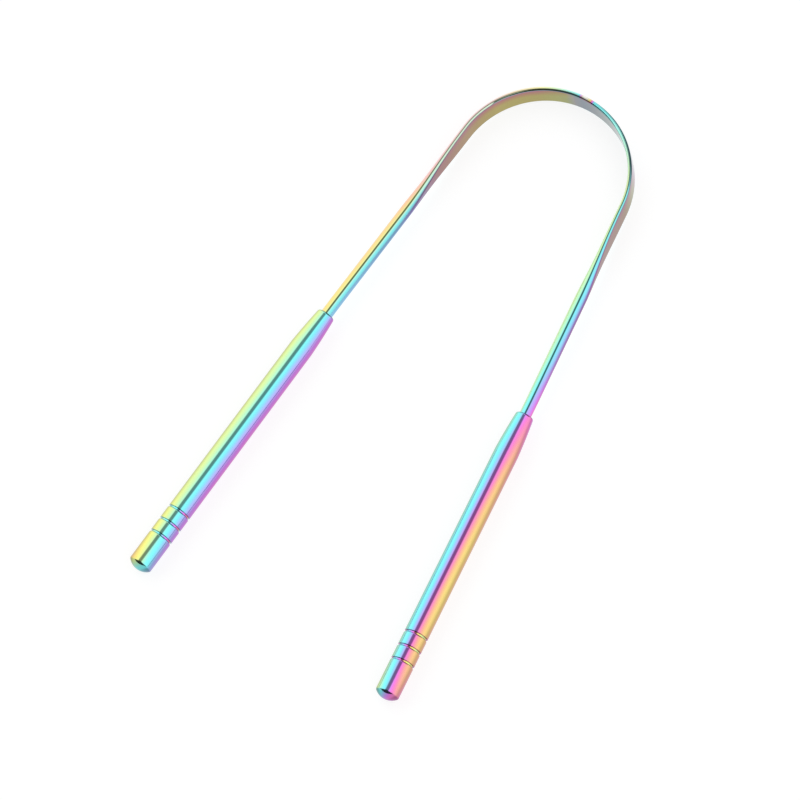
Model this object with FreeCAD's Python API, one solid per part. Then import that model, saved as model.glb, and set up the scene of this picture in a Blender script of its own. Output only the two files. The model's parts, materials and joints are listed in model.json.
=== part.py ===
import FreeCAD, Part

import math
import os

# A U-shaped tongue scraper of polished steel. A round wire is rolled flat in its middle, so that it
# becomes a scraping band, and is bent on edge into an arch with two splayed legs. Each end of the
# wire is a tang, pressed into the bore of a turned handle, and the handles toe in a little.
# The scraper lies flat: +Z is up, the arch points to +Y, and the origin is on the surface that the
# scraper lies on, under the middle of its outline.
# The band bends a little when the handles are squeezed or spread. The bow is therefore split at its
# two shoulders, where a rounded nose sits in a hollow end and turns about an upright axis.

Vector = FreeCAD.Vector
UP = Vector(0, 0, 1)
ALONG_HANDLE = Vector(1, 0, 0)
RIGHT, LEFT = 1, -1

# Bow, in millimetres and degrees
wire_diameter = 3.0
band_thickness = 1.05
arch_radius = 22.2
shoulder_deg = 28.0
leg_splay_deg = 5.95
flattened_leg_length = 25.5
round_leg_length = 25.7
toe_in_deg = 0.9
toe_in_bend_radius = 380.0
tang_length = 14.5
nose_clearance = 0.05
flattening_skew = 2.4
flattening_steps = 14
straightness_tolerance = 0.001

# Handle, in millimetres
handle_length = 77.7
handle_diameter = 6.0
mouth_diameter = 4.6
lip_radius = 0.55
taper_length = 10.4
taper_bulge = 0.07
tang_clearance = 0.02
bore_end_gap = 0.5
tip_dome_radius = 3.95
tip_edge_radius = 0.6
groove_count = 3
groove_pitch = 3.7
groove_wall_from_tip = 9.95
groove_lip_radius = 0.1
groove_floor_width = 0.4
groove_shoulder_length = 0.4
groove_depth = 0.42

# Worked out from the sizes above
wire_radius = wire_diameter / 2
flat_edge_radius = band_thickness / 2
handle_radius = handle_diameter / 2
mouth_radius = mouth_diameter / 2
bore_radius = wire_radius + tang_clearance
bore_depth = tang_length + bore_end_gap
shoulder = math.radians(shoulder_deg)
splay = math.radians(leg_splay_deg)
handle_splay = math.radians(leg_splay_deg - toe_in_deg)
straight_leg_length = flattened_leg_length + round_leg_length
shoulder_arc_length = arch_radius * (shoulder - splay)


def straight_half(edge_radius):
    """Half the straight side of the wire rolled to round edges of a radius: rolling keeps its area."""
    return math.pi * (wire_radius**2 - edge_radius**2) / (4 * edge_radius)


half_width = straight_half(flat_edge_radius) + flat_edge_radius
axis_height = max(handle_radius, half_width)

# The tip's dome is a cap of a ball, and the outline's lowest Y is that ball's lowest point
dome_centre_from_mouth = handle_length - tip_dome_radius
outline_top = arch_radius + flat_edge_radius
outline_bottom = (
    arch_radius * math.sin(splay)
    - straight_leg_length * math.cos(splay)
    - toe_in_bend_radius * (math.sin(splay) - math.sin(handle_splay))
    - dome_centre_from_mouth * math.cos(handle_splay)
    - tip_dome_radius
)
arch_centre = Vector(0, -(outline_top + outline_bottom) / 2, axis_height)


def outwards_at(angle):
    """The level direction at an angle counted from +X towards +Y."""
    return Vector(math.cos(angle), math.sin(angle), 0)


def on_arch(angle):
    """The middle of the band at an angle about the arch's centre."""
    return arch_centre + outwards_at(angle) * arch_radius


# The right leg runs straight from the arch, and a gentle bend turns it in to the handle's mouth
leg_direction = Vector(math.sin(splay), -math.cos(splay), 0)
handle_direction = Vector(math.sin(handle_splay), -math.cos(handle_splay), 0)
wire_start = on_arch(splay) + leg_direction * flattened_leg_length
bend_start = on_arch(splay) + leg_direction * straight_leg_length
bend_centre = bend_start - outwards_at(splay) * toe_in_bend_radius
mouth = bend_centre + outwards_at(handle_splay) * toe_in_bend_radius


def past_shoulder(distance):
    """The middle of the right side at a distance past its shoulder, and the direction out of the U."""
    angle = shoulder - min(distance, shoulder_arc_length) / arch_radius
    place = on_arch(angle) + leg_direction * max(distance - shoulder_arc_length, 0)
    return place, outwards_at(angle)


def line_or_arc(start, middle, end):
    """An edge through three points: a straight line where they are as good as in line."""
    if (middle - (start + end) / 2).Length < straightness_tolerance:
        return Part.LineSegment(start, end).toShape()
    return Part.Arc(start, middle, end).toShape()


def bow_section(centre, outwards, edge_radius):
    """The wire's closed outline across the bow, rolled until its round edges have a given radius."""
    roundness = (edge_radius - flat_edge_radius) / (wire_radius - flat_edge_radius)
    corner_turn = roundness * math.pi / 4
    straight = straight_half(edge_radius)
    corner_out = edge_radius * math.cos(corner_turn)
    corner_up = straight + edge_radius * math.sin(corner_turn)

    def point(out, up):
        return centre + outwards * out + UP * up

    outer_face = (point(corner_out, -corner_up), point(edge_radius, 0), point(corner_out, corner_up))
    upper_edge = (outer_face[2], point(0, straight + edge_radius), point(-corner_out, corner_up))
    inner_face = (upper_edge[2], point(-edge_radius, 0), point(-corner_out, -corner_up))
    lower_edge = (inner_face[2], point(0, -straight - edge_radius), outer_face[0])
    sides = (outer_face, upper_edge, inner_face, lower_edge)
    return Part.Wire([line_or_arc(*side) for side in sides])


def shoulder_axis(side):
    """The foot of the upright axis that one side of the bow turns about, on the lying surface."""
    middle = on_arch(shoulder)
    return Vector(side * middle.x, middle.y, 0)


def scraping_band():
    """The middle of the arch, with a hollow at each end for the nose of a stem."""
    section = Part.Face(bow_section(on_arch(shoulder), outwards_at(shoulder), flat_edge_radius))
    band = section.revolve(arch_centre, UP, math.degrees(math.pi - 2 * shoulder))
    for side in (RIGHT, LEFT):
        reach = axis_height + half_width * 2
        band = band.cut(Part.makeCylinder(flat_edge_radius + nose_clearance, reach, shoulder_axis(side)))
    return band


def stem_nose():
    """The rounded end of the right stem: half the band's outline turned about its upright middle line."""
    centre, outwards = on_arch(shoulder), outwards_at(shoulder)
    straight = straight_half(flat_edge_radius)
    diagonal = flat_edge_radius * math.sqrt(0.5)

    def point(out, up):
        return centre + outwards * out + UP * up

    top, bottom = point(0, half_width), point(0, -half_width)
    upper, lower = point(flat_edge_radius, straight), point(flat_edge_radius, -straight)
    edges = [
        Part.LineSegment(bottom, top).toShape(),
        Part.Arc(top, point(diagonal, straight + diagonal), upper).toShape(),
        Part.LineSegment(upper, lower).toShape(),
        Part.Arc(lower, point(diagonal, -straight - diagonal), bottom).toShape(),
    ]
    return Part.Face(Part.Wire(edges)).revolve(centre, UP, 180)


def flattening():
    """The right side from its shoulder to the round wire: the flat band swells back into the wire."""
    length = shoulder_arc_length + flattened_leg_length
    sections = []
    for step in range(flattening_steps + 1):
        share = step / flattening_steps
        skewed = share**flattening_skew
        eased = skewed * skewed * (3 - 2 * skewed)
        edge_radius = flat_edge_radius + (wire_radius - flat_edge_radius) * eased
        sections.append(bow_section(*past_shoulder(length * share), edge_radius))
    return Part.makeLoft(sections, True)


def right_stem():
    """One side of the bow in one piece: nose, swelling band, round wire, gentle bend and tang."""
    wire = Part.makeCylinder(wire_radius, round_leg_length, wire_start, leg_direction)
    bend_section = Part.Face(Part.Wire(Part.makeCircle(wire_radius, bend_start, leg_direction)))
    bend = bend_section.revolve(bend_centre, UP, -toe_in_deg)
    tang = Part.makeCylinder(wire_radius, tang_length, mouth, handle_direction)
    stem = flattening()
    for piece in (stem_nose(), wire, bend, tang):
        stem = stem.fuse(piece)
    return stem.removeSplitter()


def quarter_arc(start, end, bulge_towards):
    """A quarter circle from one point of an outline to another, bulging towards a corner point."""
    chord_middle = (start + end) / 2
    radius = (end - start).Length / math.sqrt(2)
    centre = start + end - bulge_towards
    return Part.Arc(start, centre + (chord_middle - centre).normalize() * radius, end).toShape()


def groove_outline(wall):
    """One grip groove in the handle's outline: a crisp lip, a wall, a flat floor and a soft shoulder."""
    floor_up = handle_radius - groove_depth
    entry = Vector(wall - groove_lip_radius, handle_radius, 0)
    wall_top = Vector(wall, handle_radius - groove_lip_radius, 0)
    wall_foot = Vector(wall, floor_up, 0)
    floor_end = Vector(wall + groove_floor_width, floor_up, 0)
    leaving = Vector(floor_end.x + groove_shoulder_length, handle_radius, 0)
    # The shoulder's circle touches the side at its end and passes through the end of the floor
    shoulder_radius = (groove_shoulder_length**2 + groove_depth**2) / (2 * groove_depth)
    shoulder_centre = Vector(leaving.x, handle_radius - shoulder_radius, 0)
    half_turn = math.atan2(groove_shoulder_length, shoulder_radius - groove_depth) / 2
    shoulder_middle = shoulder_centre + Vector(-math.sin(half_turn), math.cos(half_turn), 0) * shoulder_radius
    edges = [
        quarter_arc(entry, wall_top, Vector(wall, handle_radius, 0)),
        Part.LineSegment(wall_top, wall_foot).toShape(),
        Part.LineSegment(wall_foot, floor_end).toShape(),
        Part.Arc(floor_end, shoulder_middle, leaving).toShape(),
    ]
    return entry, edges, leaving


def tip_outline():
    """The rounded edge and the dome at the handle's free end, tangent to each other and to the side."""
    centre = Vector(dome_centre_from_mouth, 0, 0)
    rounding_up = handle_radius - tip_edge_radius
    reach = math.sqrt((tip_dome_radius - tip_edge_radius) ** 2 - rounding_up**2)
    rounding = Vector(centre.x + reach, rounding_up, 0)
    side_end = Vector(rounding.x, handle_radius, 0)
    meeting_angle = math.atan2(rounding_up, reach)

    def around(middle, radius, angle):
        return middle + Vector(math.cos(angle), math.sin(angle), 0) * radius

    half_turn = (math.pi / 2 + meeting_angle) / 2
    meeting = around(centre, tip_dome_radius, meeting_angle)
    tip = around(centre, tip_dome_radius, 0)
    edges = [
        Part.Arc(side_end, around(rounding, tip_edge_radius, half_turn), meeting).toShape(),
        Part.Arc(meeting, around(centre, tip_dome_radius, meeting_angle / 2), tip).toShape(),
    ]
    return side_end, edges, tip


def handle():
    """A handle on the X axis, its mouth at the origin: a turned bar with a blind bore for the tang."""
    lip_inside = Vector(0, mouth_radius - lip_radius, 0)
    lip_outside = Vector(lip_radius, mouth_radius, 0)
    taper_end = Vector(taper_length, handle_radius, 0)
    taper_middle = (lip_outside + taper_end) / 2 + Vector(0, taper_bulge, 0)
    edges = [
        Part.LineSegment(Vector(0, bore_radius, 0), lip_inside).toShape(),
        quarter_arc(lip_inside, lip_outside, Vector(0, mouth_radius, 0)),
        Part.Arc(lip_outside, taper_middle, taper_end).toShape(),
    ]
    here = taper_end
    for number in reversed(range(groove_count)):
        entry, groove, leaving = groove_outline(handle_length - groove_wall_from_tip - groove_pitch * number)
        edges += [Part.LineSegment(here, entry).toShape(), *groove]
        here = leaving
    side_end, rounded_tip, tip = tip_outline()
    edges += [Part.LineSegment(here, side_end).toShape(), *rounded_tip]
    bore_end = Vector(bore_depth, 0, 0)
    bore_corner = Vector(bore_depth, bore_radius, 0)
    edges += [
        Part.LineSegment(tip, bore_end).toShape(),
        Part.LineSegment(bore_end, bore_corner).toShape(),
        Part.LineSegment(bore_corner, Vector(0, bore_radius, 0)).toShape(),
    ]
    return Part.Face(Part.Wire(edges)).revolve(Vector(0, 0, 0), ALONG_HANDLE, 360)


def seated_handle(side):
    """A handle pushed onto the tang of one leg."""
    turn = math.degrees(math.atan2(handle_direction.y, side * handle_direction.x))
    placed = handle()
    placed.rotate(Vector(0, 0, 0), UP, turn)
    placed.translate(Vector(side * mouth.x, mouth.y, mouth.z))
    return placed


def mirrored(shape):
    """The same piece on the other side of the scraper's middle plane."""
    return shape.mirror(Vector(0, 0, 0), Vector(1, 0, 0))


stem = right_stem()
nodes = {
    "scraping_band": scraping_band(),
    "right_stem": stem,
    "left_stem": mirrored(stem),
    "right_handle": seated_handle(RIGHT),
    "left_handle": seated_handle(LEFT),
}

os.makedirs("parts", exist_ok=True)
for name, shape in nodes.items():
    shape.exportStep(f"parts/{name}.step")
    solids = len(shape.Solids)
    print(name, "solids", solids, "valid", shape.isValid(), "volume", round(shape.Volume, 3))
whole = Part.makeCompound(list(nodes.values())).BoundBox
print("whole", round(whole.XLength, 3), "x", round(whole.YLength, 3), "x", round(whole.ZLength, 3), "mm")
print("arch centre", arch_centre, "right shoulder axis", shoulder_axis(RIGHT))
print("right mouth", mouth, "handle direction", handle_direction, "band width", round(half_width * 2, 4))
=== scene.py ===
# %% [markdown]
# # A rainbow tongue scraper
# The real scraper is a springy bow of steel with a turned handle on each end. All of it is mirror
# polished and then coated in a vacuum chamber with a film so thin that light waves cancel in it:
# the film's thickness decides the colour, as on a soap bubble.
# The construction model is loaded first, as a fixed frame in metres. Every surface below is laid
# where its solids are, so nothing has to be fitted by eye.

# %% Load the construction model
import json
import math

import bpy
import numpy as np
from mathutils import Matrix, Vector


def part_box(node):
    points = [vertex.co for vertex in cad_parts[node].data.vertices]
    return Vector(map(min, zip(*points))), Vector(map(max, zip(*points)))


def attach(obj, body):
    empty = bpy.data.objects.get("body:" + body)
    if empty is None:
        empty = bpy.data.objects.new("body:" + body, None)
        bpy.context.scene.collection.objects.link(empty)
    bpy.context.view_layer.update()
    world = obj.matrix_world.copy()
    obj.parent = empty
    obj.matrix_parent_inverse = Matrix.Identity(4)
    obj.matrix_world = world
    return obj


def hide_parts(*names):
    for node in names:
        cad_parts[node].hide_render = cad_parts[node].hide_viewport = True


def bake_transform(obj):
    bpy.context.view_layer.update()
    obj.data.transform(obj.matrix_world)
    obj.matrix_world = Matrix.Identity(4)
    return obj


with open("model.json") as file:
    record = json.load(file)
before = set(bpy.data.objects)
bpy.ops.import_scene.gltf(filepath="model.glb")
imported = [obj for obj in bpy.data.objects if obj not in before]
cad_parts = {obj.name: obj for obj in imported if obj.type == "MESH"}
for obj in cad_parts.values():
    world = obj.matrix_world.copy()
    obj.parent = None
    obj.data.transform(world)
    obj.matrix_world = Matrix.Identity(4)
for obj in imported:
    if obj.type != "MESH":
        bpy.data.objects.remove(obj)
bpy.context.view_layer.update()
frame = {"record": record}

# %% [markdown]
# ## Sizes
# The record gives the handles' axes, where they lie and how thick they are, and the solids' boxes
# give the arch. The other sizes are the maker's: a 3 mm wire, rolled flat to about 1 mm in its
# middle and bent on edge round a former, with handles that toe in a little. Lengths are in metres
# and angles in radians, unless a name or a comment says otherwise.

# %% Read the handles' axes and the band from the frame
mounts = {mount["name"]: mount for mount in frame["record"]["mounts"]}
right_barrel = mounts["right_handle_barrel"]
handle_radius = right_barrel["dims"]["r_mm"] / 1000
axis_height = right_barrel["pos_m"][2]
handle_direction = np.array(right_barrel["axis"][:2])
band_low, band_high = (np.array(corner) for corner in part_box("scraping_band"))
half_width = (band_high[2] - band_low[2]) / 2
print("handles", round(handle_radius * 2000, 2), "mm thick, band", round(half_width * 2000, 3), "mm wide")

# %% Lengths along the bow, counted from its crown
wire_radius = 0.0015
flat_edge_radius = 0.000525
arch_radius = 0.0222
shoulder_deg = 28
flattened_leg_length = 0.0255
round_leg_length = 0.0257
toe_in = math.radians(0.9)
toe_in_radius = 0.380
tang_length = 0.0145
leg_splay = math.atan2(handle_direction[0], -handle_direction[1]) + toe_in
leg_direction = np.array([math.sin(leg_splay), -math.cos(leg_splay)])
arch_centre = np.array([0, band_high[1] - arch_radius - flat_edge_radius])
arc_length = arch_radius * (math.pi / 2 - leg_splay)
shoulder_from_crown = arch_radius * math.radians(90 - shoulder_deg)
wire_from_crown = arc_length + flattened_leg_length
bend_from_crown = wire_from_crown + round_leg_length
mouth_from_crown = bend_from_crown + toe_in_radius * toe_in
print("legs splayed by", round(math.degrees(leg_splay), 3), "degrees,",
      "crown to mouth", round(mouth_from_crown * 1000, 2), "mm")

# %% [markdown]
# ## A closed mesh from rings
# The bow and the handles are both rings of points carried along a line. A modifier could do that,
# but one numpy helper keeps the points in order, so that a film thickness can be worked out for
# each of them.

# %% Faces between rings, and the skin unrolled
def ring_faces(count, around):
    """Point j of ring i meets point j + 1 of its own ring and point j of ring i + 1, and the last
    point of a ring meets its first. Fans join the two end rings to their poles, which are the last
    two points of the mesh."""
    index = np.arange(count * around).reshape(count, around)
    beside = np.roll(index, -1, axis=1)
    quads = np.stack([index[:-1], beside[:-1], beside[1:], index[1:]], axis=-1).reshape(-1, 4)
    first_pole, last_pole = count * around, count * around + 1
    fans = np.concatenate([
        np.stack([np.full(around, first_pole), beside[0], index[0]], axis=-1),
        np.stack([np.full(around, last_pole), index[-1], beside[-1]], axis=-1),
    ])
    return quads, fans


def unrolled_map(count, around, around_m, along_m):
    """The skin unrolled, in metres: u = way round the piece and v = way along it, for each corner of
    the quads and of the fans."""
    step = around_m / around
    u = np.broadcast_to(np.arange(around) * step, (count, around))
    v = np.broadcast_to(np.asarray(along_m)[:, None], (count, around))
    quad_u = np.stack([u[:-1], u[:-1] + step, u[1:] + step, u[1:]], axis=-1).reshape(-1, 4)
    quad_v = np.stack([v[:-1], v[:-1], v[1:], v[1:]], axis=-1).reshape(-1, 4)
    fan_u = np.concatenate([
        np.stack([u[0] + step / 2, u[0] + step, u[0]], axis=-1),
        np.stack([u[0] + step / 2, u[0], u[0] + step], axis=-1),
    ])
    fan_v = np.concatenate([np.stack([v[0]] * 3, axis=-1), np.stack([v[-1]] * 3, axis=-1)])
    return np.stack([quad_u, quad_v], axis=-1), np.stack([fan_u, fan_v], axis=-1)


print("two rings of four points make", [len(faces) for faces in ring_faces(2, 4)], "quads and triangles")

# %% Join rings into a closed mesh
crease_angle = math.radians(40)


def closed_mesh(name, rings, poles, around_m, along_m):
    """Rings of points joined into one closed skin with a pole at each end. Its volume is the sum of
    a . (b x c) / 6 over the triangles; where that comes out negative, the skin is inside out and
    its faces are turned."""
    count, around = rings.shape[:2]
    quads, fans = ring_faces(count, around)
    quad_map, fan_map = unrolled_map(count, around, around_m, along_m)
    points = np.concatenate([rings.reshape(-1, 3), np.array(poles)])
    triangles = np.concatenate([quads[:, [0, 1, 2]], quads[:, [0, 2, 3]], fans])
    a, b, c = (points[triangles[:, corner]] for corner in range(3))
    volume = np.einsum("ij,ij->i", a, np.cross(b, c)).sum() / 6
    turn = slice(None, None, -1 if volume < 0 else 1)

    mesh = bpy.data.meshes.new(name)
    mesh.from_pydata(points.tolist(), [], quads[:, turn].tolist() + fans[:, turn].tolist())
    corners = np.concatenate([quad_map[:, turn].reshape(-1, 2), fan_map[:, turn].reshape(-1, 2)])
    unrolled = mesh.uv_layers.new(name="unrolled")
    unrolled.uv.foreach_set("vector", corners.ravel().astype(np.float32))
    mesh.shade_smooth()
    mesh.set_sharp_from_angle(angle=crease_angle)
    print(name, len(points), "points,", len(triangles), "triangles,", round(abs(volume) * 1e9, 1), "mm3")
    return mesh


def add_values(mesh, **layers):
    """One number for each ring point, as a named attribute; each pole takes the mean of the ring
    beside it."""
    for name, values in layers.items():
        poles = [values[0].mean(), values[-1].mean()]
        layer = mesh.attributes.new(name, "FLOAT", "POINT")
        layer.data.foreach_set("value", np.concatenate([values.ravel(), poles]).astype(np.float32))


print("edges sharper than", round(math.degrees(crease_angle)), "degrees stay crisp")

# %% [markdown]
# ## The bow
# On the real scraper the bow is one wire. Rollers flatten its middle into a band with round edges,
# which fades back into round wire on each leg, and the whole is then bent round a former. It is
# made here in two halves that meet at the crown, one for each arm, as each half of the real bow
# flexes with its own arm. A bevelled curve would keep one section all the way; numpy can let the
# section change as it goes.

# %% The bow's middle line
def bow_line(distance):
    """The right half's middle line, seen from above, at distances from the crown: an arc about the
    arch's centre, a straight leg, an arc of large radius that turns the leg in, and the straight
    tang. Gives the points and the directions that point out of the U."""
    def direction(angle):
        return np.stack([np.cos(angle), np.sin(angle)], axis=-1)

    arch_angle = math.pi / 2 - np.minimum(distance, arc_length) / arch_radius
    bend = np.clip(distance - bend_from_crown, 0, toe_in_radius * toe_in) / toe_in_radius
    outwards = direction(arch_angle - bend)
    on_leg = np.clip(distance - arc_length, 0, bend_from_crown - arc_length)[..., None]
    turned_in = toe_in_radius * (outwards - direction(arch_angle))
    on_tang = np.maximum(distance - mouth_from_crown, 0)[..., None]
    middle = arch_centre + arch_radius * direction(arch_angle) + on_leg * leg_direction
    return middle + turned_in + on_tang * handle_direction, outwards


right_mouth = bow_line(np.array(mouth_from_crown))[0]
print("the right leg goes into its handle at", np.round(right_mouth * 1000, 2), "mm")

# %% The bow's section
flattening_skew = 2.4
edge_crowding = 7
least_share = 1e-9


def edge_radius(distance):
    """Half the thickness: flat up to the shoulder, round from the end of the flattening, and between
    them a smooth step 3 q^2 - 2 q^3 of q = share^skew, which starts gently."""
    fading_length = wire_from_crown - shoulder_from_crown
    share = np.clip((distance - shoulder_from_crown) / fading_length, 0, 1) ** flattening_skew
    return flat_edge_radius + (wire_radius - flat_edge_radius) * share * share * (3 - 2 * share)


def rolled_section(radius, angle):
    """The outline of the wire rolled to round edges of a radius, at angles about it, 0 pointing out
    of the U and 90 degrees up. Rolling keeps the area, so half the straight side is
    pi (wire^2 - radius^2) / (4 radius). Each quarter walks the straight side and then a quarter
    circle, with its points crowded on the circle. Gives the points (out, up) and the way that each
    faces."""
    straight = math.pi * (wire_radius**2 - radius**2) / (4 * radius)
    curve = radius * math.pi / 2
    on_side = straight / (straight + edge_crowding * curve)
    quarter = np.arcsin(np.clip(np.abs(np.sin(angle)), 0, 1)) / (math.pi / 2)
    walked = straight * np.clip(quarter / np.maximum(on_side, least_share), 0, 1)
    bend = np.clip((quarter - on_side) / (1 - on_side), 0, 1) * math.pi / 2
    facing_out = np.cos(bend) * np.sign(np.cos(angle))
    facing_up = np.sin(bend) * np.sign(np.sin(angle))
    up = walked * np.sign(np.sin(angle)) + radius * facing_up
    return np.stack([radius * facing_out, up], axis=-1), facing_out, facing_up


thickness = 2 * edge_radius(np.array([0, mouth_from_crown]))
print("thickness at the crown and at the mouth", np.round(thickness * 1000, 3), "mm")

# %% Rings of one half of the bow
points_around = 96
crown_rings = np.array([0, 0.00005, 0.00012, 0.0002, 0.0003, 0.00042, 0.0006])
band_start, band_ring_count, wire_ring_count = 0.0009, 190, 60
band_rings = np.linspace(band_start, wire_from_crown, band_ring_count)
wire_rings = np.linspace(wire_from_crown, mouth_from_crown + tang_length, wire_ring_count)[1:]
ring_distance = np.concatenate([crown_rings, band_rings, wire_rings])
ring_angle = np.linspace(-math.pi / 2, math.pi * 3 / 2, points_around, endpoint=False)
ring_edge_radius = edge_radius(ring_distance)[:, None]
outline, facing_out, facing_up = rolled_section(ring_edge_radius, ring_angle)
widest = np.abs(outline).max(axis=(0, 1))
print(len(ring_distance), "rings, half the widest section", np.round(widest * 1000, 3), "mm")

# %% Place the two halves
def bow_half(name, side):
    """Each ring: middle line + outwards x how far out + up x how far up; the left half has its x
    turned over."""
    middle, outwards = bow_line(ring_distance)
    plan = middle[:, None, :] + outwards[:, None, :] * outline[..., :1]
    rings = np.stack([side * plan[..., 0], plan[..., 1], axis_height + outline[..., 1]], axis=-1)
    ends = [[side * middle[end, 0], middle[end, 1], axis_height] for end in (0, -1)]
    mesh = closed_mesh(name, rings, ends, 2 * math.pi * wire_radius, ring_distance)
    half = bpy.data.objects.new(name, mesh)
    bpy.context.scene.collection.objects.link(half)
    return half


LEFT, RIGHT = -1, 1
bow = {LEFT: bow_half("left_bow", LEFT), RIGHT: bow_half("right_bow", RIGHT)}

# %% [markdown]
# ## How thick the film is on the bow
# The film's order says how many wavelengths fit in it: 0 is pink, and it then runs through gold,
# yellow, green, aqua, blue and magenta, back to pink at 1. The coating comes from the sides, so the
# film differs between four strips of the bow: its outer face, the outer and the inner half of its
# upper edge, and its inner face. A painted texture could show that too, but a few numbers along
# each strip and a smooth change from strip to strip are enough. The flat faces are darker than the
# edges by painted shade, which dims their colour where they mirror the shaded sheet beside the bow,
# and in places the film is thin and the steel shows pale.

# %% Film along the faces and the upper edge
# Each profile gives places along the bow, in mm from the crown and + to the right, and the value at
# each. "lower" is added to a face's film towards its foot, "tone" is painted shade that dims the
# colour where a face mirrors the shaded sheet, "pale" is the share of bare steel in it, and "seam" is
# how much tone is lost to a painted dark line between the edge's two halves.
outer_face = {
    "film": ((-90, 0.05), (-46, -0.04), (-24, -0.02), (-12, 0.12), (-4, 0.36), (12, 0.6), (20, 0.82),
             (46, 0.93), (58, 0.78), (78, 0.8), (90, 0.9)),
    "lower": ((12, 0), (20, -0.25), (27, 0.3), (34, 0.13), (46, 0.05), (90, 0)),
    "tone": ((-58, 0.9), (-36, 0.9), (-12, 0.65), (3, 0.5), (20, 0.4), (27, 0.28), (58, 0.25),
             (75, 0.35), (90, 0.8)),
    "pale": ((-46, 0), (-24, 0.2), (-4, 0.2), (12, 0.6), (20, 0.45), (27, 0.2), (34, 0)),
}
upper_edge = {
    "outer film": ((-90, 0.11), (-62, 0.08), (-46, -0.03), (-24, -0.02), (-12, 0.13), (-4, 0.38),
                   (3, 0.46), (20, 0.42), (46, 0.53), (75, 0.6), (90, 0.72)),
    "inner film": ((-90, 0.42), (-62, 0.39), (-52, 0.35), (-42, 0.3), (-24, 0.28), (-12, 0.22),
                   (-4, 0.38), (3, 0.46), (27, 0.25), (46, 0.27), (75, 0.35), (90, 0.44)),
    "pale": ((-90, 0.1), (-56, 0.15), (-42, 0.5), (-24, 0.6), (-12, 0.35), (3, 0), (20, 0.2),
             (34, 0.1), (58, 0)),
    "seam": ((-90, 0.55), (-46, 0.5), (-24, 0.4), (-18, 0), (12, 0), (24, 0.7), (46, 0.65),
             (90, 0.45)),
}
inner_face = {
    "film": ((-90, 0.6), (-62, 0.6), (-52, 0.7), (-46, 0.93), (-12, 0.95), (-4, 1.1), (-3, 1.1),
             (-2.9, 0.62), (3, 0.6), (12, 0.45), (27, 0.3), (58, 0.24)),
    "lower": ((-90, 0), (-46, 0.03), (-24, 0.16), (-12, 0.17), (-3, 0.1), (-2.9, 0)),
    "tone": ((-90, 0.78), (-60, 0.68), (-50, 0.31), (-24, 0.42), (-12, 0.38), (3, 0.26), (12, 0.22),
             (20, 0.4), (34, 0.8), (58, 0.85)),
    "pale": ((-56, 0), (-50, 0.45), (-45, 0), (-5, 0), (-3.2, 0.85), (-2.7, 0.85), (-0.5, 0.45),
             (3, 0.6), (12, 0.8), (20, 0.5), (34, 0.2), (58, 0)),
}
strip_films = (outer_face["film"], upper_edge["outer film"],
               upper_edge["inner film"], inner_face["film"])
print("the four strips' film is given at", [len(film) for film in strip_films], "places")

# %% Painted dark lines along the corners of the edge, standing in for dark reflections
# "dark" is how much of the tone is lost to the painted dark line, "turn" where the line lies and
# "reach" how wide it is: both in degrees of turn from straight up, - towards the outside of the U
# and + towards its inside.
outer_corner = {
    "dark": ((-90, 0.2), (-46, 0.2), (-24, 0.3), (-14, 0.5), (-4, 0.5), (12, 0.85), (22, 0.95),
             (25, 0.75), (34, 0.55), (90, 0)),
    "turn": ((-14, -74), (-4, -68), (12, -52), (16, -44), (22, -44), (25, -64), (34, -68)),
    "reach": ((-4, 16), (12, 26), (16, 32), (22, 32), (25, 16), (34, 14)),
}
inner_corner = {
    "dark": ((-90, 0), (-46, 0.55), (-24, 0.5), (-23, 0.95), (-4, 0.9), (3, 0.7), (12, 0.4),
             (27, 0.15), (46, 0.25)),
    "turn": ((-24, 70), (-23, 38), (-12, 50), (-4, 55), (12, 64), (20, 70)),
    "reach": ((-24, 14), (-23, 24), (-12, 18), (-4, 15), (12, 14)),
}
deepest = [max(loss for _, loss in corner["dark"]) for corner in (outer_corner, inner_corner)]
print("the outer and the inner corner lose up to", deepest, "of their tone")

# %% Step from strip to strip
# Where each step starts and ends, in degrees of turn, on the round wire and on the flat band.
wire_steps = {"outer": (-90, -36), "seam": (-22, 22), "inner": (20, 60)}
band_steps = {"outer": (-80, -60), "seam": (-9, 9), "inner": (60, 80)}
seam_turn, seam_reach = 7, 7
top_of_face = 0.4
top_slope = 1.6
underside_film = 0.55
# The hook's mark and the bare steel in it, in metres to the right of the crown.
hook_mark_middle, hook_mark_reach, hook_mark_film = 0.0006, 0.0018, 0.70
bare_middle, bare_reach, bare_pale, bare_tone = 0.0001, 0.0011, 0.9, 1.15


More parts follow.
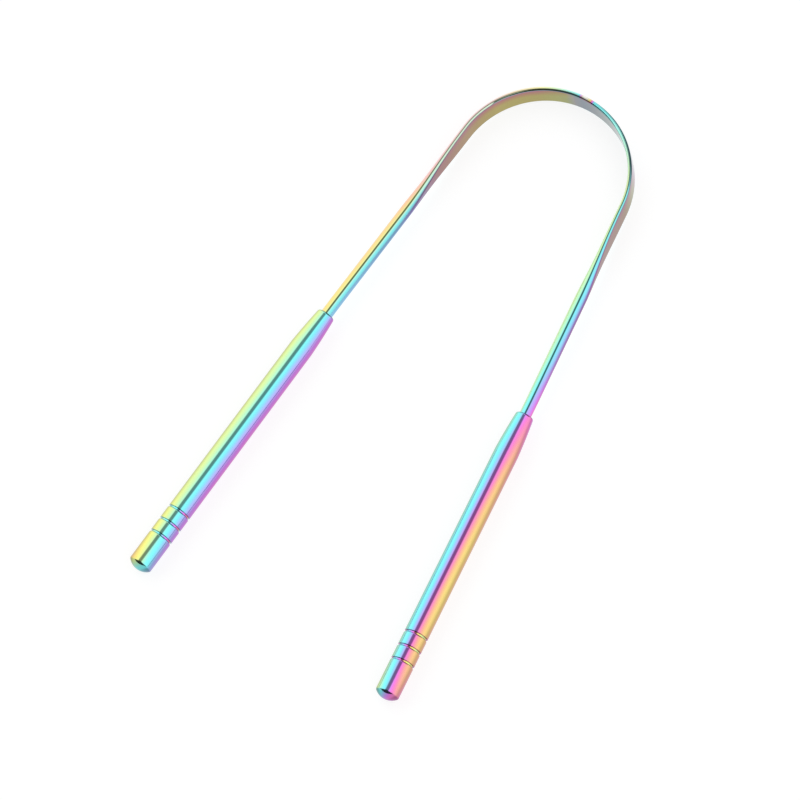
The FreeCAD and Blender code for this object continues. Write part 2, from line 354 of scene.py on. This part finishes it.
def film_on_bow(half, side):
    """The turn is how far the surface has turned from up towards the inside of the U, in degrees.
    The order steps from the outer face's to the outer edge's, the inner edge's and the inner
    face's, each step a straight ramp of the turn; the ramps are wide on the round wire and narrow
    on the band. Below, it goes to the underside's order. The tone and the paleness take the same
    steps. The tone is painted shade: it dims the faces where they mirror the shaded sheet, and it
    dips by exp(-((turn - middle) / reach)^2) in painted dark lines at the corners and at the seam of
    the edge's two halves. The hook that held the bow in the chamber left a mark on the crown: a bump
    exp(-(d / reach)^4) in the film, with bare steel in it."""
    place = side * ring_distance[:, None]
    flat = (wire_radius - ring_edge_radius) / (wire_radius - flat_edge_radius)
    turn = np.degrees(np.arctan2(-facing_out, np.abs(facing_up)))
    seam = -side * seam_turn

    def along(profile):
        stations, values = zip(*profile)
        return np.interp(place * 1000, stations, values)

    def step(name, shift=0):
        limits = zip(wire_steps[name], band_steps[name])
        start, end = (wire + (band - wire) * flat for wire, band in limits)
        return np.clip((turn - shift - start) / (end - start), 0, 1)

    def dip(depth, middle, reach):
        return 1 - along(depth) * np.exp(-(((turn - middle) / reach) ** 2))

    def crown_bump(middle, reach):
        return np.clip(facing_up * top_slope, 0, 1) * np.exp(-(((place - middle) / reach) ** 4))

    off_outer, past_seam, on_inner = step("outer"), step("seam", seam), step("inner")
    bare = crown_bump(bare_middle, bare_reach)

    face_top = half_width - flat_edge_radius
    down_face = np.clip((face_top - outline[..., 1]) / (2 * half_width * top_of_face), 0, 1)
    outer = along(outer_face["film"]) + along(outer_face["lower"]) * down_face
    inner = along(inner_face["film"]) + along(inner_face["lower"]) * down_face
    outer_edge, inner_edge = along(upper_edge["outer film"]), along(upper_edge["inner film"])
    order = outer + (outer_edge - outer) * off_outer
    order += (inner_edge - outer_edge) * past_seam
    order += (inner - inner_edge) * on_inner
    order += (underside_film - order) * np.maximum(-facing_up, 0) ** 2
    order += hook_mark_film * crown_bump(hook_mark_middle, hook_mark_reach)

    # Painted shade: the faces are dimmed, and dark reflection lines are painted along the corners and the
    # edge's seam.
    tone = 1 - (1 - along(outer_face["tone"])) * (1 - off_outer)
    tone -= (1 - along(inner_face["tone"])) * on_inner
    tone = np.maximum(tone, bare_tone * bare)
    for corner in (outer_corner, inner_corner):
        tone *= dip(corner["dark"], along(corner["turn"]), along(corner["reach"]))
    tone *= dip(upper_edge["seam"], seam, seam_reach * wire_radius / ring_edge_radius)

    pale = along(outer_face["pale"]) * (1 - off_outer) + along(inner_face["pale"]) * on_inner
    pale += along(upper_edge["pale"]) * off_outer * (1 - on_inner)
    pale = np.maximum(pale, bare_pale * bare)
    add_values(half.data, film_order=order, film_tone=tone, film_pale=pale)
    thinnest, thickest = float(order.min()), float(order.max())
    print(half.name, "film order from", round(thinnest, 2), "to", round(thickest, 2))


for side, half in bow.items():
    film_on_bow(half, side)

# %% [markdown]
# ## The handles
# Each real handle is a bar turned on a lathe: a mouth with a rounded lip, a slightly swelling
# taper, a plain barrel, three grip grooves cut with a narrow tool, and a domed tip. Blender's Screw
# modifier would turn an outline round an axis; here the outline is turned with numpy, as the bow
# is, so the film can follow it.

# %% A grip groove
handle_length = 0.0777
groove_pitch, last_groove_from_tip = 0.0037, 0.00995
groove_walls = handle_length - last_groove_from_tip - groove_pitch * np.array([2, 1, 0])
groove_lip_radius = 0.0001
groove_floor_width = 0.0004
groove_floor_corner = 0.00006
groove_shoulder_length = 0.0004
groove_depth = 0.00042


def arc(centre, radius, first_deg, last_deg, count):
    """Points on a circle: centre + radius x (cos, sin) of evenly stepped angles."""
    angle = np.radians(np.linspace(first_deg, last_deg, count))
    return np.array(centre) + radius * np.stack([np.cos(angle), np.sin(angle)], axis=-1)


def groove(wall):
    """A groove as a crisp lip, a small corner at the foot of its wall, a flat floor and a soft
    shoulder: an arc that touches the side and ends on the floor, of radius
    (length^2 + depth^2) / (2 depth)."""
    shoulder_radius = (groove_shoulder_length**2 + groove_depth**2) / (2 * groove_depth)
    leaving = wall + groove_floor_width + groove_shoulder_length
    floor_turn = math.degrees(math.atan2(groove_depth - shoulder_radius, groove_shoulder_length))
    lip_centre = (wall - groove_lip_radius, handle_radius - groove_lip_radius)
    corner_centre = (wall + groove_floor_corner, handle_radius - groove_depth + groove_floor_corner)
    shoulder_centre = (leaving, handle_radius - shoulder_radius)
    return np.concatenate([
        arc(lip_centre, groove_lip_radius, 90, 0, count=7),
        arc(corner_centre, groove_floor_corner, 180, 270, count=4),
        arc(shoulder_centre, shoulder_radius, 180 + floor_turn, 90, count=14),
    ])


print("groove walls", np.round(groove_walls * 1000, 2), "mm from the mouth")

# %% The outline that the lathe cuts
mouth_radius = 0.0023
lip_radius = 0.00055
taper_length = 0.0104
taper_bulge = 0.00007
tang_clearance, bore_end_gap = 0.00002, 0.0005
bore_radius = wire_radius + tang_clearance
bore_depth = tang_length + bore_end_gap
bore_rim = 0.00010
dome_radius = 0.00395
tip_edge_radius = 0.0006


def side_of(start, end, count):
    """The plain side of the bar between two distances, with neither end point."""
    distance = np.linspace(start, end, count + 2)[1:-1]
    return np.stack([distance, np.full(count, handle_radius)], axis=-1)


def taper_of(count):
    """radius = mouth + (bar - mouth) x share + bulge x 4 share (1 - share), along the taper."""
    share = np.linspace(0, 1, count + 1)[1:]
    distance = lip_radius + (taper_length - lip_radius) * share
    swelling = taper_bulge * 4 * share * (1 - share)
    radius = mouth_radius + (handle_radius - mouth_radius) * share + swelling
    return np.stack([distance, radius], axis=-1)


def lathe_outline():
    """(distance from the mouth, radius) from the edge of the bore's flat bottom, out round the mouth
    and along the side, to just off the axis on the dome. The rounded edge of the tip touches the
    side and, from inside, the dome's circle."""
    edge_height = handle_radius - tip_edge_radius
    reach = math.sqrt((dome_radius - tip_edge_radius) ** 2 - edge_height**2)
    meeting = math.degrees(math.atan2(edge_height, reach))
    dome_centre = handle_length - dome_radius
    side_end = dome_centre + reach
    first, second, third = (groove(wall) for wall in groove_walls)
    return np.concatenate([
        [[bore_depth, bore_radius]],
        arc((bore_rim, bore_radius + bore_rim), bore_rim, 270, 180, count=5),
        arc((lip_radius, mouth_radius - lip_radius), lip_radius, 180, 90, count=12),
        taper_of(count=23),
        side_of(taper_length, first[0, 0], count=30),
        first,
        side_of(first[-1, 0], second[0, 0], count=3),
        second,
        side_of(second[-1, 0], third[0, 0], count=3),
        third,
        side_of(third[-1, 0], side_end, count=6),
        arc((side_end, edge_height), tip_edge_radius, 90, meeting, count=10),
        arc((dome_centre, 0), dome_radius, meeting, 0, count=16)[1:-1],
    ])


turned_outline = lathe_outline()
run = np.gradient(turned_outline, axis=0)
facing_side = run[:, 0] / np.linalg.norm(run, axis=1)
tip_mm = round(turned_outline[-1, 0] * 1000, 2)
print("handle outline", len(turned_outline), "points, tip at", tip_mm, "mm")

# %% Turn the outline round each handle's axis
points_round_bar = 128
turn_angle = np.linspace(-math.pi, math.pi, points_round_bar, endpoint=False)


def turned_handle(name, side):
    """Point = mouth + axis x distance + radius x (up x cos + across x sin), for each distance and
    turn angle; the angle is counted from straight up towards +X on both handles."""
    mouth = np.array([side * right_mouth[0], right_mouth[1], axis_height])
    axis = np.array([side * handle_direction[0], handle_direction[1], 0])
    across = np.array([-axis[1], axis[0], 0])
    up = np.array([0, 0, 1])
    radial = np.cos(turn_angle)[:, None] * up + np.sin(turn_angle)[:, None] * across
    distance, radius = turned_outline[:, :1, None], turned_outline[:, 1:, None]
    rings = mouth + axis * distance + radial * radius
    poles = [mouth + axis * bore_depth, mouth + axis * handle_length]
    mesh = closed_mesh(name, rings, poles, 2 * math.pi * handle_radius, turned_outline[:, 0])
    turned = bpy.data.objects.new(name, mesh)
    bpy.context.scene.collection.objects.link(turned)
    return turned


handles = {
    LEFT: turned_handle("left_handle_skin", LEFT),
    RIGHT: turned_handle("right_handle_skin", RIGHT),
}

# %% [markdown]
# ## How thick the film is on the handles
# Each handle hung in the chamber with one side to the source, so the film swells and thins round
# the bar, which gives the long stripes of colour. A sum of a few waves round the bar describes it.
# Faces that look along the bar, such as the dome, get the mean thickness.

# %% Waves of film round each handle
stripe_turn = math.radians(18)
film_waves = {
    LEFT: {"mean": 0.495, "sines": (0.335, 0, 0.02), "cosines": (0, -0.02, 0),
           "tip": -0.18, "mouth": -0.02},
    RIGHT: {"mean": 0.775, "sines": (0.374, 0, 0.05), "cosines": (0.035, 0.10, 0),
            "tip": -0.17, "mouth": -0.27},
}
tip_fade, mouth_fade, mouth_share = 0.0095, 0.014, 0.6
groove_film = 0.17
# Between these turns the tone falls by its painted shade, on the low and on the high side of the bar,
# where it turns towards the shaded sheet.
low_side, low_shade = (math.radians(30), math.radians(48)), 0.37
high_side, high_shade = (math.radians(48), math.radians(72)), 0.45
# Painted shade on faces that look along the bar, such as the dome, and more painted shade in the
# recesses: the groove walls and the mouth's lip.
end_turn, end_shade = 0.3, 0.42
painted_recess_shade = 0.6


def film_on_handle(turned, side):
    """order = mean + (facing sideways) x (sum over n of (s_n sin n a + c_n cos n a) + changes at the
    two ends, which fade out as exp(-distance / fade)); a is the turn angle from where the stripes
    are centred. The change at the mouth is strongest on the low side, where sin a is 1. In the
    grooves the film is thicker. The tone is painted shade: it falls where the bar turns to the sheet
    that it lies on, at the ends, and most on the walls of the grooves and the mouth's lip, the
    recesses where shade gathers."""
    waves = film_waves[side]
    angle = turn_angle - stripe_turn
    wave_number = np.arange(1, len(waves["sines"]) + 1)[:, None]
    wave = np.array(waves["sines"]) @ np.sin(wave_number * angle)
    wave = wave + np.array(waves["cosines"]) @ np.cos(wave_number * angle)
    from_mouth, radius = turned_outline[:, :1], turned_outline[:, 1:]
    at_tip = waves["tip"] * np.exp((from_mouth - handle_length) / tip_fade)
    to_low_side = mouth_share + (1 - mouth_share) * np.sin(angle)
    at_mouth = waves["mouth"] * to_low_side * np.exp(-from_mouth / mouth_fade)
    sunk = np.clip((handle_radius - radius) / groove_depth, 0, 1)
    groove_end = groove_walls[-1] + groove_floor_width + groove_shoulder_length
    grooved = sunk * ((from_mouth > groove_walls[0] - groove_lip_radius) & (from_mouth < groove_end))
    sideways = np.clip(facing_side[:, None], 0, 1)
    order = waves["mean"] + sideways * (wave + (at_tip + at_mouth)) + groove_film * grooved

    # Painted shade: the sides that turn to the sheet and the faces that look along the bar, and deepest
    # in the recesses of the grooves and the lip.
    low = np.clip((angle - low_side[0]) / (low_side[1] - low_side[0]), 0, 1)
    high = np.clip((-angle - high_side[0]) / (high_side[1] - high_side[0]), 0, 1)
    endways = np.clip((1 - sideways) / end_turn, 0, 1)
    tone = 1 - sideways * (low_shade * low + high_shade * high) - end_shade * endways
    in_recess = np.maximum(grooved, from_mouth < lip_radius)
    tone *= 1 - painted_recess_shade * in_recess * endways
    add_values(turned.data, film_order=order, film_tone=tone, film_pale=np.zeros_like(order))
    thinnest, thickest = float(order.min()), float(order.max())
    print(turned.name, "film order from", round(thinnest, 2), "to", round(thickest, 2))


for side, turned in handles.items():
    film_on_handle(turned, side)

# %% [markdown]
# ## The finish
# Polished steel is a mirror, so its material is a Principled shader with Metallic 1 and a low
# roughness. The film tints the mirror. A colour ramp could hold the rainbow, but light in a thin
# film follows cosines, one for each of red, green and blue, so a small node group works them out
# from the film's order. A second group adds what polishing leaves: fine hairlines along the piece
# and a slight unevenness of the film.

# %% Nodes and node groups
def add_node(tree, kind, **settings):
    """A node with its plain settings and, by socket name or number, its unlinked values."""
    values = settings.pop("values", {})
    node = tree.nodes.new(kind)
    for name, setting in settings.items():
        setattr(node, name, setting)
    for socket, value in values.items():
        node.inputs[socket].default_value = value
    return node


def new_group(name, inputs, outputs):
    """A shader node group with named sockets, and its input and output nodes."""
    group = bpy.data.node_groups.new(name, "ShaderNodeTree")
    for socket, default in inputs.items():
        made = group.interface.new_socket(socket, in_out="INPUT", socket_type="NodeSocketFloat")
        made.default_value = default
    for socket, kind in outputs.items():
        group.interface.new_socket(socket, in_out="OUTPUT", socket_type=kind)
    print("node group", name, "from", list(inputs), "to", list(outputs))
    return group, group.nodes.new("NodeGroupInput"), group.nodes.new("NodeGroupOutput")

# %% Node group: the colour of a thin film, dimmed by painted shade
colour_phases = {"Red": 0, "Green": 0.333, "Blue": 0.60}
colour_swing, colour_middle = 0.5, 0.75
bare_steel = (0.85, 0.85, 0.84, 1)


def film_colour_and_shade_group():
    """Each of red, green and blue = middle + swing x cos(2 pi (order - phase)), clipped to 0..1; the
    colour is then paled towards bare steel and multiplied by the tone, which is painted shade. In a
    colour mix, inputs 6 and 7 are the two colours and output 2 is the result."""
    group, given, result = new_group(
        "film_colour", {"Order": 0.5, "Tone": 1, "Pale": 0}, {"Colour": "NodeSocketColor"})
    join = add_node(group, "ShaderNodeCombineColor")
    turn = 2 * math.pi
    for channel, phase in colour_phases.items():
        angle = add_node(group, "ShaderNodeMath", operation="MULTIPLY_ADD",
                         values={1: turn, 2: -turn * phase})
        wave = add_node(group, "ShaderNodeMath", operation="COSINE")
        level = add_node(group, "ShaderNodeMath", operation="MULTIPLY_ADD", use_clamp=True,
                         values={1: colour_swing, 2: colour_middle})
        group.links.new(given.outputs["Order"], angle.inputs[0])
        group.links.new(angle.outputs[0], wave.inputs[0])
        group.links.new(wave.outputs[0], level.inputs[0])
        group.links.new(level.outputs[0], join.inputs[channel])
    pale = add_node(group, "ShaderNodeMix", data_type="RGBA", values={7: bare_steel})
    shade = add_node(group, "ShaderNodeVectorMath", operation="SCALE")
    group.links.new(given.outputs["Pale"], pale.inputs[0])
    group.links.new(join.outputs[0], pale.inputs[6])
    group.links.new(pale.outputs[2], shade.inputs[0])
    group.links.new(given.outputs["Tone"], shade.inputs["Scale"])
    group.links.new(shade.outputs[0], result.inputs["Colour"])
    return group


film_colour = film_colour_and_shade_group()

# %% Node group: what polishing leaves
# Features to the metre, round the piece and along it.
hairline_density = (9000, 260, 1)
cloud_density = (500, 90, 1)


def polish_marks_group():
    """Hairlines are noise on the unrolled map, stretched along the piece; the unevenness is slow
    noise on it. Roughness = Gloss + Hairlines x noise, Height is the hairline noise, and Drift the
    slow noise about zero."""
    group, given, result = new_group(
        "polish_marks",
        {"Gloss": 0.06, "Hairlines": 0.06, "Drift Amount": 0.02},
        {"Roughness": "NodeSocketFloat", "Height": "NodeSocketFloat", "Drift": "NodeSocketFloat"})
    place = add_node(group, "ShaderNodeUVMap", uv_map="unrolled")
    stretch = add_node(group, "ShaderNodeMapping", values={"Scale": hairline_density})
    hairline = add_node(group, "ShaderNodeTexNoise", noise_dimensions="2D",
                        values={"Scale": 1, "Detail": 3, "Roughness": 0.6})
    slow = add_node(group, "ShaderNodeMapping", values={"Scale": cloud_density})
    cloud = add_node(group, "ShaderNodeTexNoise", noise_dimensions="2D", values={"Scale": 1, "Detail": 2})
    rough = add_node(group, "ShaderNodeMath", operation="MULTIPLY_ADD")
    centred = add_node(group, "ShaderNodeMath", operation="SUBTRACT", values={1: 0.5})
    drift = add_node(group, "ShaderNodeMath", operation="MULTIPLY")
    group.links.new(place.outputs[0], stretch.inputs["Vector"])
    group.links.new(stretch.outputs[0], hairline.inputs["Vector"])
    group.links.new(place.outputs[0], slow.inputs["Vector"])
    group.links.new(slow.outputs[0], cloud.inputs["Vector"])
    group.links.new(hairline.outputs[0], rough.inputs[0])
    group.links.new(given.outputs["Hairlines"], rough.inputs[1])
    group.links.new(given.outputs["Gloss"], rough.inputs[2])
    group.links.new(rough.outputs[0], result.inputs["Roughness"])
    group.links.new(hairline.outputs[0], result.inputs["Height"])
    group.links.new(cloud.outputs[0], centred.inputs[0])
    group.links.new(centred.outputs[0], drift.inputs[0])
    group.links.new(given.outputs["Drift Amount"], drift.inputs[1])
    group.links.new(drift.outputs[0], result.inputs["Drift"])
    return group


polish_marks = polish_marks_group()

# %% Rainbow steel for the bow and the handles
hairline_depth, hairline_strength = 0.000004, 0.2


def rainbow_steel(name, gloss, hairlines, drift):
    """Film order, the tone of painted shade and paleness come from the piece's attributes; the film's
    drift is added to its order."""
    material = bpy.data.materials.new(name)
    material.use_nodes = True
    tree = material.node_tree
    shader = tree.nodes["Principled BSDF"]
    shader.inputs["Metallic"].default_value = 1
    colour = add_node(tree, "ShaderNodeGroup", node_tree=film_colour)
    marks = add_node(tree, "ShaderNodeGroup", node_tree=polish_marks,
                     values={"Gloss": gloss, "Hairlines": hairlines, "Drift Amount": drift})
    order = add_node(tree, "ShaderNodeAttribute", attribute_name="film_order")
    tone = add_node(tree, "ShaderNodeAttribute", attribute_name="film_tone")
    pale = add_node(tree, "ShaderNodeAttribute", attribute_name="film_pale")
    total = add_node(tree, "ShaderNodeMath", operation="ADD")
    bump = add_node(tree, "ShaderNodeBump",
                    values={"Strength": hairline_strength, "Distance": hairline_depth})
    tree.links.new(order.outputs["Fac"], total.inputs[0])
    tree.links.new(marks.outputs["Drift"], total.inputs[1])
    tree.links.new(total.outputs[0], colour.inputs["Order"])
    tree.links.new(tone.outputs["Fac"], colour.inputs["Tone"])
    tree.links.new(pale.outputs["Fac"], colour.inputs["Pale"])
    tree.links.new(colour.outputs["Colour"], shader.inputs["Base Color"])
    tree.links.new(marks.outputs["Roughness"], shader.inputs["Roughness"])
    tree.links.new(marks.outputs["Height"], bump.inputs["Height"])
    tree.links.new(bump.outputs["Normal"], shader.inputs["Normal"])
    return material


bow_finish = rainbow_steel("rainbow_bow", gloss=0.05, hairlines=0.05, drift=0.03)
left_finish = rainbow_steel("rainbow_left_handle", gloss=0.06, hairlines=0.06, drift=0.04)
right_finish = rainbow_steel("rainbow_right_handle", gloss=0.06, hairlines=0.06, drift=0.04)
bow[LEFT].data.materials.append(bow_finish)
bow[RIGHT].data.materials.append(bow_finish)
handles[LEFT].data.materials.append(left_finish)
handles[RIGHT].data.materials.append(right_finish)
print("materials", [material.name for material in (bow_finish, left_finish, right_finish)])

# %% [markdown]
# ## How the pieces move
# The arch stays still and each arm springs in or out. A handle is rigid and rides on its arm. The
# stretch where a half of the bow would bend, from within the arch to just past its end, is worked
# out and printed.

# %% Ride on the arms, and where the shoulders would bend
bend_start_from_crown, bend_past_arch = 0.0115, 0.008
bend_start = bow_line(np.array(bend_start_from_crown))[0]
bend_end = bow_line(np.array(arc_length + bend_past_arch))[0]
for side, arm in ((LEFT, "left_arm"), (RIGHT, "right_arm")):
    stem = arm.replace("arm", "stem")
    handle_node = arm.replace("arm", "handle")
    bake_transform(bow[side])
    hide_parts("scraping_band", stem)
    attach(handles[side], arm)
    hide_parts(handle_node)
print("bend from", np.round(bend_start * 1000, 2), "to", np.round(bend_end * 1000, 2), "mm")

# %% [markdown]
# ## The floor and the light
# The scraper lies on a white sheet in a white light tent. The tent is the world: white all round,
# with a dark gap overhead and in front, where the camera looks in, and a dark back corner. Mirrors
# show what is round them, so those dark places draw thin dark lines along the polished steel; the
# steel's colour adds painted dark lines and painted shade of its own. The floor is a plain pale
# sheet that keeps the soft shadow, lifted to white by a little glow that the camera and the
# reflections see.

# %% A pale floor
floor_half = 8.0
floor_mesh = bpy.data.meshes.new("floor")
floor_corners = [(-floor_half, -floor_half, 0), (floor_half, -floor_half, 0),
                 (floor_half, floor_half, 0), (-floor_half, floor_half, 0)]
floor_mesh.from_pydata(floor_corners, [], [(0, 1, 2, 3)])
floor = bpy.data.objects.new("floor", floor_mesh)
bpy.context.scene.collection.objects.link(floor)
print("floor", 2 * floor_half, "m across")

# %% A white sheet for the floor
floor_white, floor_glow = 0.30, 0.84
floor_finish = bpy.data.materials.new("white_sheet")
floor_finish.use_nodes = True
tree = floor_finish.node_tree
sheet = tree.nodes["Principled BSDF"]
sheet.inputs["Base Color"].default_value = (floor_white, floor_white, floor_white, 1)
sheet.inputs["Roughness"].default_value = 0.9
sheet.inputs["Specular IOR Level"].default_value = 0
sheet.inputs["Emission Color"].default_value = (1, 1, 1, 1)
rays = add_node(tree, "ShaderNodeLightPath")
seen = add_node(tree, "ShaderNodeMath", operation="MAXIMUM")
mirrored = add_node(tree, "ShaderNodeMath", operation="MAXIMUM")
glow = add_node(tree, "ShaderNodeMath", operation="MULTIPLY", values={1: floor_glow})
tree.links.new(rays.outputs["Is Camera Ray"], seen.inputs[0])
tree.links.new(rays.outputs["Is Glossy Ray"], mirrored.inputs[0])
tree.links.new(rays.outputs["Is Transmission Ray"], mirrored.inputs[1])
tree.links.new(mirrored.outputs[0], seen.inputs[1])
tree.links.new(seen.outputs[0], glow.inputs[0])
tree.links.new(glow.outputs[0], sheet.inputs["Emission Strength"])
floor_mesh.materials.append(floor_finish)
print("sheet of white", floor_white, "with a glow of", floor_glow)

# %% The light tent and its dark places
# A place in the tent is the direction towards it: x to the right, y to the back and z up. The gap
# runs from front to back along x = gap_middle, widens towards the front and is darkest there.
gap_middle, gap_inside, gap_outside = -0.04, 0.16, 0.36
gap_widens_from, gap_spread = -0.42, 2.5
gap_fade_start, gap_fade_end = 0.45, 0.7
gap_front, gap_back, dark_in_front, dark_at_back = -0.3, 0.15, 0.94, 0.74
corner_direction, corner_inside, corner_outside, corner_dark = (0.33, 0.91, 0.25), 0.913, 0.829, 0.85
tent = bpy.data.worlds.new("light_tent")
bpy.context.scene.world = tent
tent.use_nodes = True
tree = tent.node_tree
sky = tree.nodes["Background"]
sky.inputs["Color"].default_value = (1, 1, 1, 1)
ways = add_node(tree, "ShaderNodeTexCoord")
parts = add_node(tree, "ShaderNodeSeparateXYZ")
tree.links.new(ways.outputs["Generated"], parts.inputs[0])
gap_width = round(gap_inside * 2, 2)
print("light tent with a gap", gap_width, "wide and a dark corner towards", corner_direction)

# %% How dark the gap is in each direction
def smooth_range(start, end, first, last):
    """A smooth step: first up to the start, last from the end, and 3 q^2 - 2 q^3 between them."""
    return add_node(tree, "ShaderNodeMapRange", interpolation_type="SMOOTHSTEP",
                    values={1: start, 2: end, 3: first, 4: last})


shifted = add_node(tree, "ShaderNodeMath", operation="SUBTRACT", values={1: gap_middle})
off_middle = add_node(tree, "ShaderNodeMath", operation="ABSOLUTE")
to_front = add_node(tree, "ShaderNodeMath", operation="MULTIPLY_ADD",
                    values={1: -gap_spread, 2: gap_widens_from * gap_spread})
widening = add_node(tree, "ShaderNodeMath", operation="MAXIMUM", values={1: 0})
from_gap = add_node(tree, "ShaderNodeMath", operation="SUBTRACT")
across_gap = smooth_range(gap_inside, gap_outside, 1, 0)
before_end = smooth_range(gap_fade_start, gap_fade_end, 1, 0)
gap_depth = smooth_range(gap_front, gap_back, dark_in_front, dark_at_back)
gap = add_node(tree, "ShaderNodeMath", operation="MULTIPLY")
gap_dark = add_node(tree, "ShaderNodeMath", operation="MULTIPLY")
for source, target in (
    (parts.outputs["X"], shifted.inputs[0]),
    (shifted.outputs[0], off_middle.inputs[0]),
    (parts.outputs["Y"], to_front.inputs[0]),
    (to_front.outputs[0], widening.inputs[0]),
    (off_middle.outputs[0], from_gap.inputs[0]),
    (widening.outputs[0], from_gap.inputs[1]),
    (from_gap.outputs[0], across_gap.inputs[0]),
    (parts.outputs["Y"], before_end.inputs[0]),
    (parts.outputs["Y"], gap_depth.inputs[0]),
    (across_gap.outputs[0], gap.inputs[0]),
    (before_end.outputs[0], gap.inputs[1]),
    (gap.outputs[0], gap_dark.inputs[0]),
    (gap_depth.outputs[0], gap_dark.inputs[1]),
):
    tree.links.new(source, target)
print("the gap takes", dark_at_back, "to", dark_in_front, "of the light")

# %% What is left of the light
towards = add_node(tree, "ShaderNodeVectorMath", operation="DOT_PRODUCT", values={1: corner_direction})
in_corner = smooth_range(corner_outside, corner_inside, 0, corner_dark)
past_gap = add_node(tree, "ShaderNodeMath", operation="SUBTRACT", values={0: 1})
past_corner = add_node(tree, "ShaderNodeMath", operation="SUBTRACT", values={0: 1})
light = add_node(tree, "ShaderNodeMath", operation="MULTIPLY")
for source, target in (
    (gap_dark.outputs[0], past_gap.inputs[1]),
    (ways.outputs["Generated"], towards.inputs[0]),
    (towards.outputs["Value"], in_corner.inputs[0]),
    (in_corner.outputs[0], past_corner.inputs[1]),
    (past_gap.outputs[0], light.inputs[0]),
    (past_corner.outputs[0], light.inputs[1]),
    (light.outputs[0], sky.inputs["Strength"]),
):
    tree.links.new(source, target)
print("the corner takes", corner_dark, "of the light; the tent has", len(tree.nodes), "nodes")

# %% [markdown]
# ## The camera
# The photograph was taken from high up, with a long lens and the camera rolled, so the scraper lies
# askew in the square picture. The angles and the distance come from a fit to its outline.

# %% Camera at the photograph's angle
azimuth, elevation, roll = (math.radians(angle) for angle in (50.309, 67.349, -20.963))
camera_target = np.array([-0.000792, -0.010564, 0.003479])
camera_distance = 2.0
focal_length, sensor_width = 375.8, 36
back = np.array([
    math.sin(azimuth) * math.cos(elevation),
    -math.cos(azimuth) * math.cos(elevation),
    math.sin(elevation),
])
level = np.cross(-back, [0, 0, 1])
level /= np.linalg.norm(level)
upright = np.cross(level, -back)
picture_right = math.cos(roll) * level + math.sin(roll) * upright
picture_up = math.cos(roll) * upright - math.sin(roll) * level
camera_data = bpy.data.cameras.new("camera")
camera_data.lens = focal_length
camera_data.sensor_width = sensor_width
camera = bpy.data.objects.new("camera", camera_data)
bpy.context.scene.collection.objects.link(camera)
placed = np.eye(4)
placed[:3, :3] = np.stack([picture_right, picture_up, back], axis=1)
placed[:3, 3] = camera_target + back * camera_distance
camera.matrix_world = Matrix(placed.tolist())
bpy.context.scene.camera = camera
bpy.context.scene.view_settings.view_transform = "Standard"
print("camera at", np.round(placed[:3, 3], 3).tolist())
